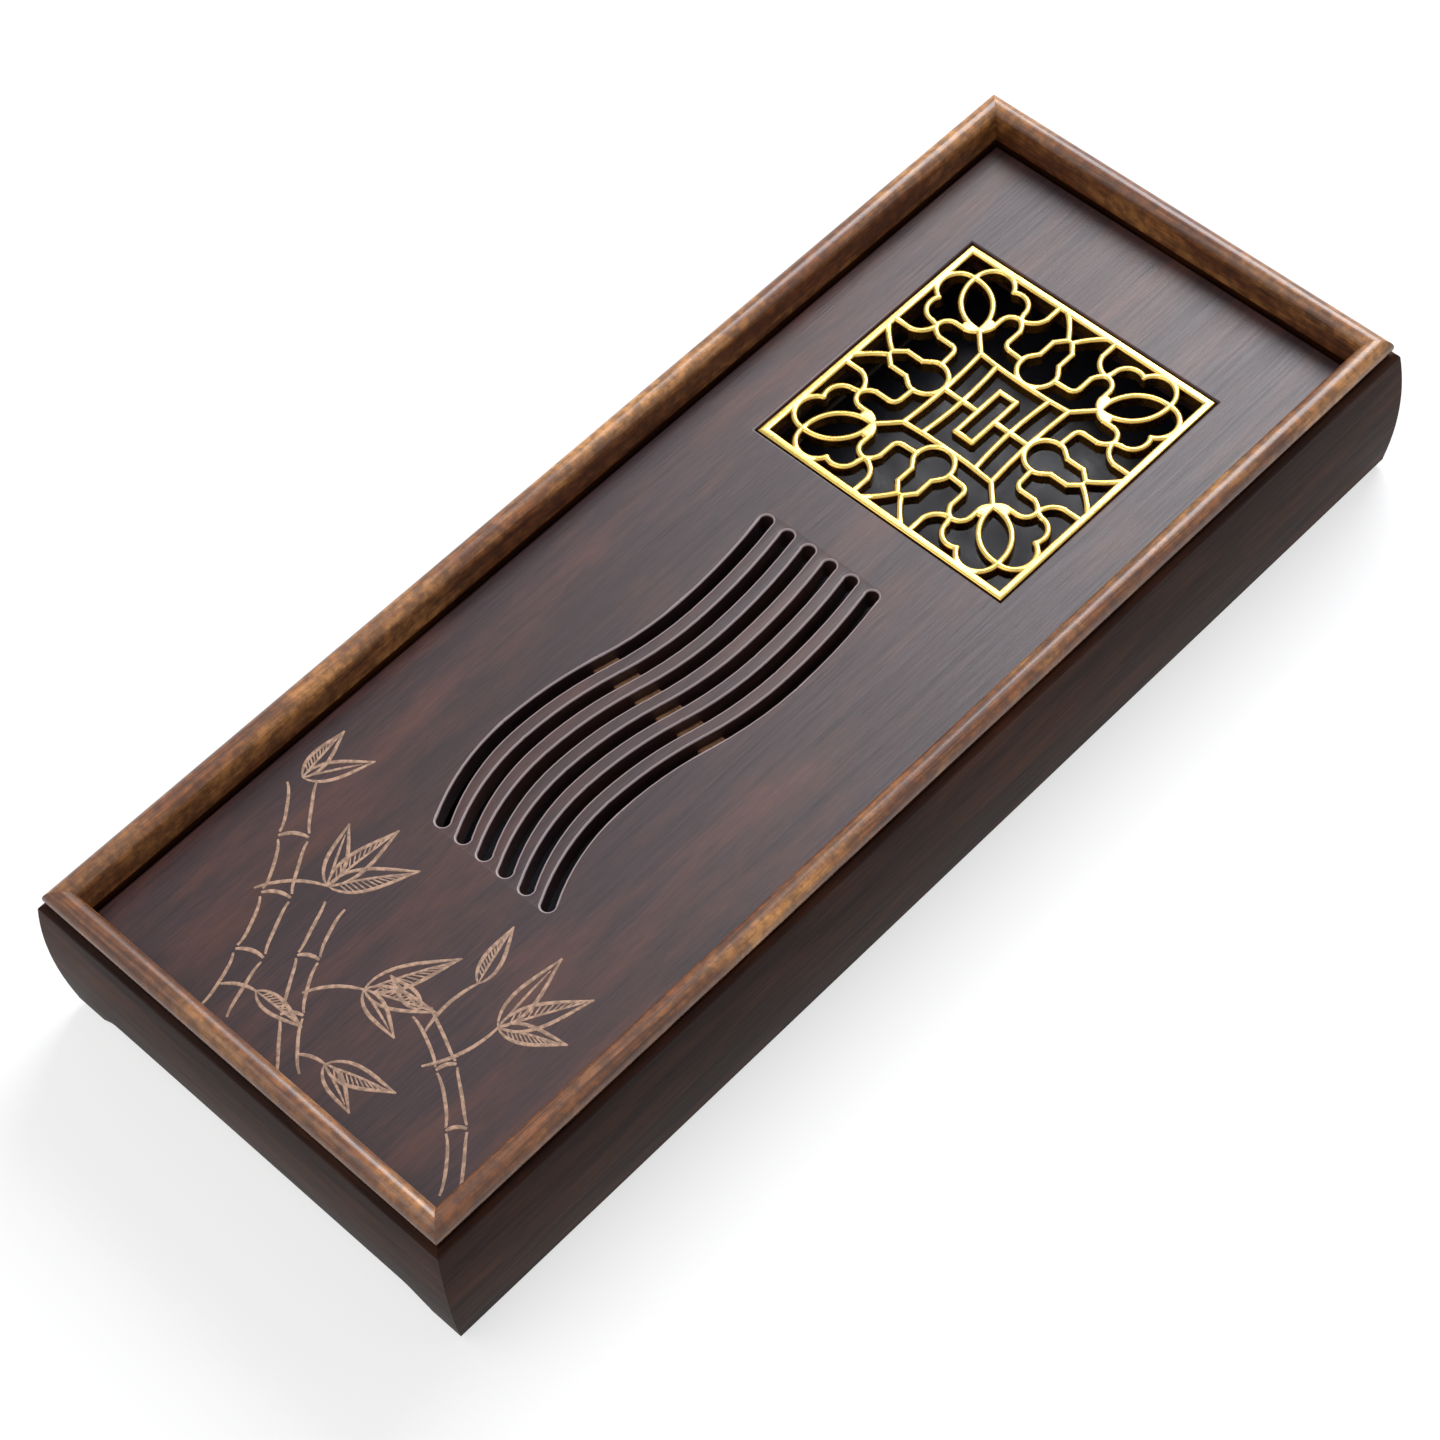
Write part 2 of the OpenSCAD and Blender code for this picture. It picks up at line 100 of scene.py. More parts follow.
class TeaTraySizes(bpy.types.PropertyGroup):
    """Sizes that belong to the dressing alone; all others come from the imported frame"""
    board_easing: length("Board easing", "Rounding of the board's upper edges", 0.8)
    bar_easing: length("Bar easing", "Rounding of the grille's upper edges", 0.85)
    timber_easing: length(
        "Timber easing", "Rounding of the rails', cleats' and battens' edges", 0.3)
    plastic_easing: length("Plastic easing", "Rounding of the water tray's edges", 0.5)
    mitre_easing: length("Mitre easing", "Rounding of the beads' mitred ends", 0.18)
    line_width: length("Carved line width", "Width of a carved line at its fullest", 1.45)
    line_height: length("Carved line height", "Rise of a carved line's crown over its middle", 0.06)


class TeaTrayColours(bpy.types.PropertyGroup):
    """Colours as they look under plain white light"""
    board_dark: colour("Board, dark", "Dark fibres of the drainage board", "#1f1214")
    board_mid: colour("Board, middle", "Ground colour of the drainage board", "#3a272a")
    board_warm: colour("Board, warm", "Warm clouds in the drainage board", "#5b382d")
    # painted highlight laid on the slots' eased edges
    board_edge_highlight: colour("Board, edges", "Thin lacquer on the slots' eased edges", "#a09090")
    rail_dark: colour("Rail, dark", "Dark fibres of the rails", "#140804")
    rail_mid: colour("Rail, middle", "Ground colour of the rails", "#2a130a")
    rail_warm: colour("Rail, warm", "Warm clouds in the rails", "#4e2915")
    bead_dark: colour("Bead, dark", "Dark fibres of the beads", "#34190c")
    bead_mid: colour("Bead, middle", "Ground colour of the beads", "#8a5127")
    bead_warm: colour("Bead, warm", "Warm clouds in the beads", "#d09252")
    inner_dark: colour("Inner wood, dark", "Dark fibres of the unlacquered wood", "#7a5539")
    inner_mid: colour("Inner wood, middle", "Ground colour of the unlacquered wood", "#a07656")
    inner_warm: colour("Inner wood, warm", "Light clouds in the unlacquered wood", "#bb9069")
    carved: colour("Carved lines", "Wood laid bare by the carving", "#b4917a")
    brass: colour("Brass", "Polished top of the grille", "#c9ab5c")
    # painted shade: the deeper colour laid on the grille bars' sides
    brass_side_shade: colour("Brass, shaded", "Duller brass in the grille's corners", "#b4822a")
    plastic: colour("Plastic", "Water tray", "#171a23")
    zinc: colour("Zinc", "Screws", "#b9bab6")


# ---- working by hand ----

def only(piece):
    """Leaves piece alone selected and active, in object mode."""
    if bpy.context.object and bpy.context.object.mode != "OBJECT":
        bpy.ops.object.mode_set(mode="OBJECT")
    bpy.ops.object.select_all(action="DESELECT")
    piece.select_set(True)
    bpy.context.view_layer.objects.active = piece
    return piece


def pick(piece, kind, wanted):
    """Selects the faces or edges of piece for which wanted(element) is true, in edit mode.
    kind is FACE or EDGE."""
    only(piece)
    bpy.ops.object.mode_set(mode="EDIT")
    bpy.ops.mesh.select_mode(type=kind)
    bpy.ops.mesh.select_all(action="DESELECT")
    bpy.ops.object.mode_set(mode="OBJECT")
    count = 0
    for element in piece.data.polygons if kind == "FACE" else piece.data.edges:
        element.select = bool(wanted(element))
        count += element.select
    bpy.ops.object.mode_set(mode="EDIT")
    if not count:
        raise RuntimeError(f"nothing to select on {piece.name}")


def worked_copy(node, name, whole_faces=True):
    """A copy of a CAD node with its loose triangles merged. whole_faces also joins the
    triangles of each flat face, which suits a node with no holes in its faces."""
    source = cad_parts[node]
    piece = bpy.data.objects.new(name, source.data.copy())
    bpy.context.scene.collection.objects.link(piece)
    piece.data.name = name
    only(piece)
    bpy.ops.object.mode_set(mode="EDIT")
    bpy.ops.mesh.select_all(action="SELECT")
    bpy.ops.mesh.remove_doubles(threshold=MERGE)
    bpy.ops.mesh.customdata_custom_splitnormals_clear()
    if whole_faces:
        bpy.ops.mesh.dissolve_limited(angle_limit=math.radians(0.3))
    bpy.ops.object.mode_set(mode="OBJECT")
    return piece


def round_top(piece, height, radius, steps=3):
    """Rounds every upper edge: the top face sinks by radius and is raised again in
    steps, each set in from the last along a quarter circle."""
    pick(piece, "FACE", lambda f: f.normal.z > 0.999 and abs(f.center.z - height) < NEAR)
    bpy.ops.transform.translate(value=(0, 0, -radius))
    for k in range(steps):
        low, high = math.pi / 2 * k / steps, math.pi / 2 * (k + 1) / steps
        bpy.ops.mesh.inset(
            thickness=radius * (math.cos(low) - math.cos(high)),
            depth=radius * (math.sin(high) - math.sin(low)), use_even_offset=True)
    bpy.ops.object.mode_set(mode="OBJECT")


def ease(piece, width, segments=2, angle=50):
    """Rounds the edges of piece that turn by more than angle degrees."""
    only(piece)
    bevel = piece.modifiers.new("easing", "BEVEL")
    bevel.width = width
    bevel.segments = segments
    bevel.limit_method = "ANGLE"
    bevel.angle_limit = math.radians(angle)
    bpy.ops.object.modifier_apply(modifier=bevel.name)


def smooth(piece, angle=40):
    """Smooth shading that leaves broad flat faces flat beside their rounded edges."""
    only(piece)
    bpy.ops.object.shade_smooth_by_angle(angle=math.radians(angle))
    even = piece.modifiers.new("even", "WEIGHTED_NORMAL")
    even.mode = "FACE_AREA"
    even.weight = 100
    even.keep_sharp = True
    bpy.ops.object.modifier_apply(modifier=even.name)


def outward(piece):
    """Merges doubles and turns every face of piece outward."""
    only(piece)
    bpy.ops.object.mode_set(mode="EDIT")
    bpy.ops.mesh.select_all(action="SELECT")
    bpy.ops.mesh.remove_doubles(threshold=MERGE)
    bpy.ops.mesh.normals_make_consistent(inside=False)
    bpy.ops.object.mode_set(mode="OBJECT")


def settle(piece, body, material, stands_for=()):
    """Leaves piece at the origin with its place in its mesh, gives it its material and its
    body, and hides the CAD nodes that it stands for."""
    only(piece)
    bpy.ops.object.transform_apply(location=True, rotation=True, scale=True)
    piece.data.materials.clear()
    piece.data.materials.append(material)
    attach(piece, body)
    if stands_for:
        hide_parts(*stands_for)
    return piece


# ---- materials ----

def put(tree, kind, inputs=None, stops=None, **settings):
    """Adds a node with its settings, its colour stops, and its inputs set or linked."""
    made = tree.nodes.new(kind)
    for key, value in settings.items():
        setattr(made, key, value)
    if stops:
        ramp = made.color_ramp
        while len(ramp.elements) < len(stops):
            ramp.elements.new(0.5)
        for element, (place, value) in zip(ramp.elements, stops):
            element.position = place
            element.color = value
    for key, value in (inputs or {}).items():
        if isinstance(value, bpy.types.NodeSocket):
            tree.links.new(value, made.inputs[key])
        else:
            made.inputs[key].default_value = value
    return made


def start(name):
    """A new material with its tree and its Principled shader, or the material of that
    name, with no tree, where it is already made."""
    found = bpy.data.materials.get(name)
    if found:
        return found, None, None
    material = bpy.data.materials.new(name)
    material.use_nodes = True
    tree = material.node_tree
    tree.nodes.clear()
    shader = put(tree, "ShaderNodeBsdfPrincipled")
    put(tree, "ShaderNodeOutputMaterial", {"Surface": shader.outputs[0]})
    return material, tree, shader


def bamboo(name, along, tones, roughness, shine, coat=0.0, coat_roughness=0.3,
           relief=0.03, cloud=1.0, mottled=0.0, edge=None):
    """Bamboo, planed, stained and lacquered. It is cut from straight stems, so fine dark
    fibre bundles 0.3 to 1 mm wide run unbroken along the piece, in slow warm clouds.
    along is 0 where the fibres run along X and 1 where they run along Y. tones are its
    dark, middle and warm colours, relief is the fibres' depth in mm, cloud and mottled
    are the strength of the warm clouds and of the dark spots, and edge is the colour of a
    painted highlight on the slots' eased edges."""
    material, tree, shader = start(name)
    if tree is None:
        return material
    dark, mid, warm = tones
    place = put(tree, "ShaderNodeTexCoord").outputs["Object"]

    def grain(run, width, detail, rough, turn=0.0):
        """Streaks run mm long and width mm wide. Each turn looks at another part of the noise."""
        scale = [1000 / width] * 3
        scale[along] = 1000 / run
        map_ = put(tree, "ShaderNodeMapping", {
            "Vector": place, "Scale": scale, "Location": [turn * 3.1, turn * 1.7, turn * 0.9]})
        return put(tree, "ShaderNodeTexNoise", {
            "Vector": map_.outputs[0], "Scale": 1.0,
            "Detail": detail, "Roughness": rough}).outputs["Fac"]

    fibres = grain(34, 0.8, 4.0, 0.7)
    fine = grain(9, 0.34, 2.0, 0.6, 1.0)
    clouds = grain(60, 12, 4.0, 0.65, 2.0)
    strips = grain(260, 16, 1.0, 0.4, 3.0)
    fibre_mask = put(tree, "ShaderNodeValToRGB", {"Fac": fibres},
                     stops=[(0.3, BLACK), (0.6, WHITE)]).outputs[0]
    cloud_mask = put(tree, "ShaderNodeValToRGB", {"Fac": clouds},
                     stops=[(0.46, BLACK), (0.74, (cloud, cloud, cloud, 1))]).outputs[0]
    ground = put(tree, "ShaderNodeMix", {0: fibre_mask, 6: dark, 7: mid},
                 data_type="RGBA").outputs[2]
    clouded = put(tree, "ShaderNodeMix", {0: cloud_mask, 6: ground, 7: warm},
                  data_type="RGBA").outputs[2]
    # the finest fibres and the broad strips only lighten and darken
    shade = put(tree, "ShaderNodeMapRange", {"Value": fine, "From Min": 0.3, "From Max": 0.7,
                                             "To Min": 0.72, "To Max": 1.16}).outputs[0]
    broad = put(tree, "ShaderNodeMapRange", {"Value": strips, "From Min": 0.35, "From Max": 0.65,
                                             "To Min": 0.9, "To Max": 1.1}).outputs[0]
    both = put(tree, "ShaderNodeMath", {0: shade, 1: broad}, operation="MULTIPLY").outputs[0]
    final = put(tree, "ShaderNodeVectorMath", {0: clouded, "Scale": both},
                operation="SCALE").outputs[0]
    if mottled:
        # the stain took unevenly, in spots 1 to 4 mm wide
        spots = put(tree, "ShaderNodeTexNoise", {
            "Vector": place, "Scale": 1000 / 3.5, "Detail": 4.0, "Roughness": 0.6}).outputs["Fac"]
        spot_mask = put(tree, "ShaderNodeMapRange", {
            "Value": spots, "From Min": 0.4, "From Max": 0.62,
            "To Min": mottled, "To Max": 0.0}).outputs[0]
        final = put(tree, "ShaderNodeMix", {0: spot_mask, 6: final, 7: dark},
                    data_type="RGBA").outputs[2]
    if edge:
        # painted highlight: the slots' eased edges, where they turn from level to upright, get a
        # pale colour that stands in for light caught there
        facing = put(tree, "ShaderNodeNewGeometry").outputs["Normal"]
        up = put(tree, "ShaderNodeSeparateXYZ", {0: facing}).outputs["Z"]
        edge_highlight_mask = put(tree, "ShaderNodeValToRGB", {"Fac": up}, stops=[
            (0.1, BLACK), (0.4, WHITE), (0.93, WHITE), (0.99, BLACK)]).outputs[0]
        spot = put(tree, "ShaderNodeSeparateXYZ", {0: place})
        for side, (middle, reach) in (("X", SLOTS_ALONG), ("Y", SLOTS_ACROSS)):
            inside = put(tree, "ShaderNodeMath", {0: spot.outputs[side], 1: middle, 2: reach},
                         operation="COMPARE").outputs[0]
            edge_highlight_mask = put(tree, "ShaderNodeMath", {0: edge_highlight_mask, 1: inside},
                            operation="MULTIPLY").outputs[0]
        final = put(tree, "ShaderNodeMix", {0: edge_highlight_mask, 6: final, 7: edge},
                    data_type="RGBA").outputs[2]
    tree.links.new(final, shader.inputs["Base Color"])
    # the dark fibres are a little duller than the ground
    dull = put(tree, "ShaderNodeMapRange", {
        "Value": fibres, "From Min": 0.3, "From Max": 0.7,
        "To Min": roughness + 0.06, "To Max": roughness - 0.04}).outputs[0]
    tree.links.new(dull, shader.inputs["Roughness"])
    pores = put(tree, "ShaderNodeMath", {0: fibres, 1: fine}, operation="ADD").outputs[0]
    bump = put(tree, "ShaderNodeBump", {"Height": pores, "Strength": 0.5, "Distance": relief * MM})
    tree.links.new(bump.outputs[0], shader.inputs["Normal"])
    shader.inputs["Specular IOR Level"].default_value = shine
    shader.inputs["Coat Weight"].default_value = coat
    shader.inputs["Coat Roughness"].default_value = coat_roughness
    shader.inputs["Coat IOR"].default_value = 1.5
    return material


def board_bamboo():
    """The board's bamboo: near black with a lilac cast, under a satin lacquer."""
    tones = bpy.context.scene.tea_tray_colours
    return bamboo("dark_satin_bamboo_board", 0,
                  (tones.board_dark, tones.board_mid, tones.board_warm),
                  roughness=0.35, shine=0.36, coat_roughness=0.25, relief=0.07, cloud=0.7,
                  # edge lays a painted highlight on the slots' eased edges
                  edge=tones.board_edge_highlight)


def rail_bamboo(along):
    """The rails' bamboo: the darkest stain, rubbed nearly matt."""
    tones = bpy.context.scene.tea_tray_colours
    return bamboo(("dark_bamboo_lengthwise", "dark_bamboo_crosswise")[along], along,
                  (tones.rail_dark, tones.rail_mid, tones.rail_warm),
                  roughness=0.5, shine=0.07, cloud=0.7)


def bead_bamboo(along):
    """The beads' bamboo: the lightest stain, worn in spots, under a glossy coat."""
    tones = bpy.context.scene.tea_tray_colours
    return bamboo(("lacquered_bead_lengthwise", "lacquered_bead_crosswise")[along], along,
                  (tones.bead_dark, tones.bead_mid, tones.bead_warm),
                  roughness=0.42, shine=0.3, coat=0.6, coat_roughness=0.22, mottled=0.6)


def inner_bamboo(along):
    """Bamboo left bare inside: planed, pale and matt."""
    tones = bpy.context.scene.tea_tray_colours
    return bamboo(("bare_bamboo_lengthwise", "bare_bamboo_crosswise")[along], along,
                  (tones.inner_dark, tones.inner_mid, tones.inner_warm),
                  roughness=0.6, shine=0.3, relief=0.05)


def cast_brass():
    """Yellow brass, cast and then polished on top. The casting leaves slow ripples 3 mm wide
    and a faint 0.4 mm grain. The bars' sides, where they turn away from facing up, are painted a
    deeper brass as painted shade."""
    material, tree, shader = start("polished_cast_brass")
    if tree is None:
        return material
    tones = bpy.context.scene.tea_tray_colours
    place = put(tree, "ShaderNodeTexCoord").outputs["Object"]
    ripples = put(tree, "ShaderNodeTexNoise", {
        "Vector": place, "Scale": 1000 / 3.0, "Detail": 2.0}).outputs["Fac"]
    grit = put(tree, "ShaderNodeTexNoise", {
        "Vector": place, "Scale": 1000 / 0.4, "Detail": 2.0}).outputs["Fac"]
    facing = put(tree, "ShaderNodeNewGeometry").outputs["Normal"]
    up = put(tree, "ShaderNodeSeparateXYZ", {0: facing}).outputs["Z"]
    # painted shade: the brass turns deeper as the surface turns from facing up to facing sideways
    side_shade_mask = put(tree, "ShaderNodeMapRange", {"Value": up, "From Min": 0.15, "From Max": 0.75,
                                             "To Min": 1.0, "To Max": 0.0}).outputs[0]
    tone = put(tree, "ShaderNodeMix", {0: side_shade_mask, 6: tones.brass, 7: tones.brass_side_shade},
               data_type="RGBA").outputs[2]
    tree.links.new(tone, shader.inputs["Base Color"])
    rough = put(tree, "ShaderNodeMapRange", {"Value": ripples, "From Min": 0.3, "From Max": 0.7,
                                             "To Min": 0.2, "To Max": 0.32}).outputs[0]
    tree.links.new(rough, shader.inputs["Roughness"])
    both = put(tree, "ShaderNodeMath", {0: grit, 1: 0.15, 2: ripples},
               operation="MULTIPLY_ADD").outputs[0]
    bump = put(tree, "ShaderNodeBump", {"Height": both, "Strength": 0.35, "Distance": 0.25 * MM})
    tree.links.new(bump.outputs[0], shader.inputs["Normal"])
    shader.inputs["Metallic"].default_value = 1.0
    return material


def gloss_plastic():
    """Black ABS sheet, pressed over a polished mould: glossy, with a slow 25 mm waviness
    from the pressing and a little fine dust in the gloss."""
    material, tree, shader = start("glossy_black_abs")
    if tree is None:
        return material
    tones = bpy.context.scene.tea_tray_colours
    place = put(tree, "ShaderNodeTexCoord").outputs["Object"]
    waves = put(tree, "ShaderNodeTexNoise", {
        "Vector": place, "Scale": 1000 / 25.0, "Detail": 1.0}).outputs["Fac"]
    dust = put(tree, "ShaderNodeTexNoise", {
        "Vector": place, "Scale": 1000 / 0.8, "Detail": 3.0}).outputs["Fac"]
    rough = put(tree, "ShaderNodeMapRange", {"Value": dust, "From Min": 0.4, "From Max": 0.75,
                                             "To Min": 0.3, "To Max": 0.42}).outputs[0]
    tree.links.new(rough, shader.inputs["Roughness"])
    bump = put(tree, "ShaderNodeBump", {"Height": waves, "Strength": 0.15, "Distance": 0.3 * MM})
    tree.links.new(bump.outputs[0], shader.inputs["Normal"])
    shader.inputs["Base Color"].default_value = tones.plastic
    shader.inputs["Specular IOR Level"].default_value = 0.3
    return material


def zinc_plate():
    """Steel screws, zinc plated in a barrel: bluish white, half bright, finely mottled."""
    material, tree, shader = start("zinc_plated_steel")
    if tree is None:
        return material
    tones = bpy.context.scene.tea_tray_colours
    place = put(tree, "ShaderNodeTexCoord").outputs["Object"]
    mottle = put(tree, "ShaderNodeTexNoise", {
        "Vector": place, "Scale": 1000 / 0.7, "Detail": 3.0}).outputs["Fac"]
    rough = put(tree, "ShaderNodeMapRange", {
        "Value": mottle, "To Min": 0.25, "To Max": 0.5}).outputs[0]
    tree.links.new(rough, shader.inputs["Roughness"])
    shader.inputs["Base Color"].default_value = tones.zinc
    shader.inputs["Metallic"].default_value = 1.0
    return material


def bared_bamboo():
    """Bamboo with its lacquer and stain burnt away by a fine carving point: pale, dry
    and matt, and mottled every 1.5 mm where the cut went deeper."""
    material, tree, shader = start("carved_bare_bamboo")
    if tree is None:
        return material
    tones = bpy.context.scene.tea_tray_colours
    place = put(tree, "ShaderNodeTexCoord").outputs["Object"]
    burns = put(tree, "ShaderNodeTexNoise", {
        "Vector": place, "Scale": 1000 / 1.5, "Detail": 2.0}).outputs["Fac"]
    deep = tuple(c * 0.55 for c in tones.carved[:3]) + (1.0,)
    mask = put(tree, "ShaderNodeValToRGB", {"Fac": burns},
               stops=[(0.4, BLACK), (0.62, WHITE)]).outputs[0]
    tone = put(tree, "ShaderNodeMix", {0: mask, 6: deep, 7: tones.carved},
               data_type="RGBA").outputs[2]
    tree.links.new(tone, shader.inputs["Base Color"])
    shader.inputs["Roughness"].default_value = 0.75
    return material


# ---- pieces ----

class TEATRAY_OT_rails(bpy.types.Operator):
    """Work the four mitred rails, with eased edges and their lacquer"""
    bl_idname = "teatray.rails"
    bl_label = "Rails"

    def execute(self, context):
        sizes = context.scene.tea_tray_sizes
        for side in LONG_SIDES + SHORT_SIDES:
            rail = worked_copy(side + "_rail", side + "_rail_worked", whole_faces=False)
            ease(rail, sizes.timber_easing)
            smooth(rail)
            settle(rail, "frame", rail_bamboo(int(side in SHORT_SIDES)),
                   [side + "_rail"])
        return {"FINISHED"}


def sweep_bead(side, easing):
    """A half-round bead: a disc cut at its seat and given its hanging lip, drawn out
    along the rail and mitred. sign is the way outward and inner the bead's inner side."""
    low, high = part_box(side + "_bead")
    rail_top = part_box(side + "_rail")[1].z
    along = int(side in SHORT_SIDES)
    across = 1 - along
    sign = -1 if side in ("front", "left") else 1
    inner = low[across] if sign > 0 else high[across]
    radius = (high[across] - low[across]) / 2
    centre = Vector((0, 0, high.z - radius))
    centre[across] = (high[across] + low[across]) / 2
    lip = max(abs(v.co[across] - inner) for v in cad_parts[side + "_bead"].data.vertices
              if abs(v.co.z - low.z) < NEAR)
    past_the_mitre = 4 * MM
    reach = high[along] + past_the_mitre
    centre[along] = -reach
    turn = (0, math.radians(90), 0) if along == 0 else (math.radians(90), 0, 0)
    bpy.ops.object.select_all(action="DESELECT")
    bpy.ops.mesh.primitive_circle_add(
        vertices=96, radius=radius, fill_type="NGON", location=centre, rotation=turn)
    bead = bpy.context.object
    bead.name = side + "_bead_swept"
    only(bead)
    bpy.ops.object.transform_apply(location=True, rotation=True, scale=True)
    bpy.ops.object.mode_set(mode="EDIT")
    bpy.ops.mesh.select_all(action="SELECT")
    bpy.ops.mesh.bisect(
        plane_co=(0, 0, rail_top), plane_no=(0, 0, 1), clear_inner=True, threshold=FINE)
    bpy.ops.object.mode_set(mode="OBJECT")
    # below its middle the inner side drops straight down
    for vertex in bead.data.vertices:
        if vertex.co.z < centre.z - NEAR and (vertex.co[across] - centre[across]) * sign < 0:
            vertex.co[across] = inner
    # the seat is parted at the lip's width, and the lip drawn down from it
    lip_face, normal = [0, 0, 0], [0, 0, 0]
    lip_face[across] = inner + sign * lip
    normal[across] = 1
    bpy.ops.object.mode_set(mode="EDIT")
    bpy.ops.mesh.select_all(action="SELECT")
    bpy.ops.mesh.bisect(plane_co=lip_face, plane_no=normal, threshold=FINE)
    bpy.ops.object.mode_set(mode="OBJECT")
    mesh = bead.data

    def is_lip_seat(edge):
        ends = [mesh.vertices[v].co for v in edge.vertices]
        return all(abs(e.z - rail_top) < NEAR and abs(e[across] - inner) < lip + NEAR
                   for e in ends)

    pick(bead, "EDGE", is_lip_seat)
    bpy.ops.mesh.extrude_region_move(TRANSFORM_OT_translate={"value": (0, 0, low.z - rail_top)})
    bpy.ops.mesh.select_all(action="SELECT")
    bpy.ops.mesh.remove_doubles(threshold=MERGE)
    bpy.ops.mesh.select_all(action="SELECT")
    way = [0, 0, 0]
    way[along] = 2 * reach
    bpy.ops.mesh.extrude_region_move(TRANSFORM_OT_translate={"value": way})
    # the mitre planes stand upright through the corner of the outer faces
    corner = [0, 0, 0]
    corner[across] = sign * CAD_BOX[1][across]
    for end in (-1, 1):
        corner[along] = end * CAD_BOX[1][along]
        normal = [0, 0, 0]
        normal[along] = end
        normal[across] = -sign
        bpy.ops.mesh.select_all(action="SELECT")
        bpy.ops.mesh.bisect(
            plane_co=corner, plane_no=normal, use_fill=True, clear_outer=True, threshold=FINE)
    bpy.ops.object.mode_set(mode="OBJECT")
    outward(bead)
    ease(bead, easing)
    smooth(bead)
    return bead


class TEATRAY_OT_beads(bpy.types.Operator):
    """Sweep the four half-round beads and mitre them"""
    bl_idname = "teatray.beads"
    bl_label = "Beads"

    def execute(self, context):
        sizes = context.scene.tea_tray_sizes
        for side in LONG_SIDES + SHORT_SIDES:
            bead = sweep_bead(side, sizes.mitre_easing)
            settle(bead, "frame", bead_bamboo(int(side in SHORT_SIDES)),
                   [side + "_bead"])
        return {"FINISHED"}


class TEATRAY_OT_board(bpy.types.Operator):
    """Work the drainage board: ease its slots, its rebate and its rim"""
    bl_idname = "teatray.board"
    bl_label = "Drainage board"

    def execute(self, context):
        sizes = context.scene.tea_tray_sizes
        board = worked_copy("drainage_board", "drainage_board_worked", whole_faces=False)
        round_top(board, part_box("drainage_board")[1].z, sizes.board_easing)
        smooth(board, 32)
        settle(board, "board", board_bamboo(), ["drainage_board"])
        return {"FINISHED"}


class TEATRAY_OT_grille(bpy.types.Operator):
    """Round the bars of the cast grille"""
    bl_idname = "teatray.grille"
    bl_label = "Brass grille"

    def execute(self, context):
        sizes = context.scene.tea_tray_sizes
        grille = worked_copy("brass_grille", "brass_grille_cast", whole_faces=False)
        round_top(grille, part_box("brass_grille")[1].z, sizes.bar_easing)
        smooth(grille)
        settle(grille, "grille", cast_brass(), ["brass_grille"])
        return {"FINISHED"}


class TEATRAY_OT_inner_wood(bpy.types.Operator):
    """Work the unlacquered parts: cleats, battens, splines and the bottom board"""
    bl_idname = "teatray.inner_wood"
    bl_label = "Cleats, battens and bottom board"

    def execute(self, context):
        sizes = context.scene.tea_tray_sizes
        parts = {
            "front_cleat": ("frame", 0), "back_cleat": ("frame", 0),
            "left_cleat": ("frame", 1), "right_cleat": ("frame", 1),
            "bottom_board": ("frame", 0), "corner_splines": ("frame", 0),
            "slot_batten": ("board", 1), "left_batten": ("board", 1), "right_batten": ("board", 1),
        }
        for node, (body, along) in parts.items():
            piece = worked_copy(node, node + "_planed")
            if node != "corner_splines":
                ease(piece, sizes.timber_easing)
            smooth(piece)
            settle(piece, body, inner_bamboo(along), [node])
        return {"FINISHED"}


class TEATRAY_OT_water_tray(bpy.types.Operator):
    """Round the edges of the pressed water tray and polish it"""
    bl_idname = "teatray.water_tray"
    bl_label = "Water tray"

    def execute(self, context):
        sizes = context.scene.tea_tray_sizes
        tray = worked_copy("water_tray", "water_tray_pressed")
        ease(tray, sizes.plastic_easing, segments=3, angle=40)
        smooth(tray)
        settle(tray, "water_tray", gloss_plastic(), ["water_tray"])
        return {"FINISHED"}


def turned_screw(shank, head, long, head_height):
    """A wood screw that points along +Z, its head's face at z = 0: head, ribbed shank
    and point extruded from a disc, and a cross recess cut in the head."""
    plain, root, crest = (shank / 2 * share for share in (0.96, 0.74, 0.995))
    first, last, turns = long * 0.38, long * 0.86, 7
    step = (last - first) / turns
    rings = [(head_height * 0.12, head / 2), (head_height, plain), (long * 0.36, plain)]
    for k in range(turns):
        z = first + (last - first) * k / turns
        rings += [(z, root), (z + step * 0.5, crest), (z + step * 0.6, crest)]
    rings += [(last, shank / 2 * 0.7), (long, shank * 0.05)]

    bpy.ops.mesh.primitive_circle_add(
        vertices=24, radius=head / 2, fill_type="NGON", location=(0, 0, 0))
    screw = bpy.context.object
    only(screw)
    bpy.ops.object.mode_set(mode="EDIT")
    bpy.ops.mesh.select_all(action="SELECT")
    at, wide = 0.0, head / 2
    for z, radius in rings:
        bpy.ops.mesh.extrude_region_move(TRANSFORM_OT_translate={"value": (0, 0, z - at)})
        if abs(radius - wide) > 1e-9:
            bpy.ops.transform.resize(
                value=(radius / wide, radius / wide, 1), center_override=(0, 0, z))
        at, wide = z, radius
    bpy.ops.object.mode_set(mode="OBJECT")
    outward(screw)
    for turn in (0, 90):
        bpy.ops.mesh.primitive_cube_add(
            size=1, location=(0, 0, 0), rotation=(0, 0, math.radians(turn)))
        cutter = bpy.context.object
        cutter.scale = (head * 0.5, head * 0.11, head_height * 1.1)
        only(screw)
        cut = screw.modifiers.new("recess", "BOOLEAN")
        cut.operation = "DIFFERENCE"
        cut.solver = "EXACT"
        cut.object = cutter
        bpy.ops.object.modifier_apply(modifier=cut.name)
        bpy.data.objects.remove(cutter)
    return screw


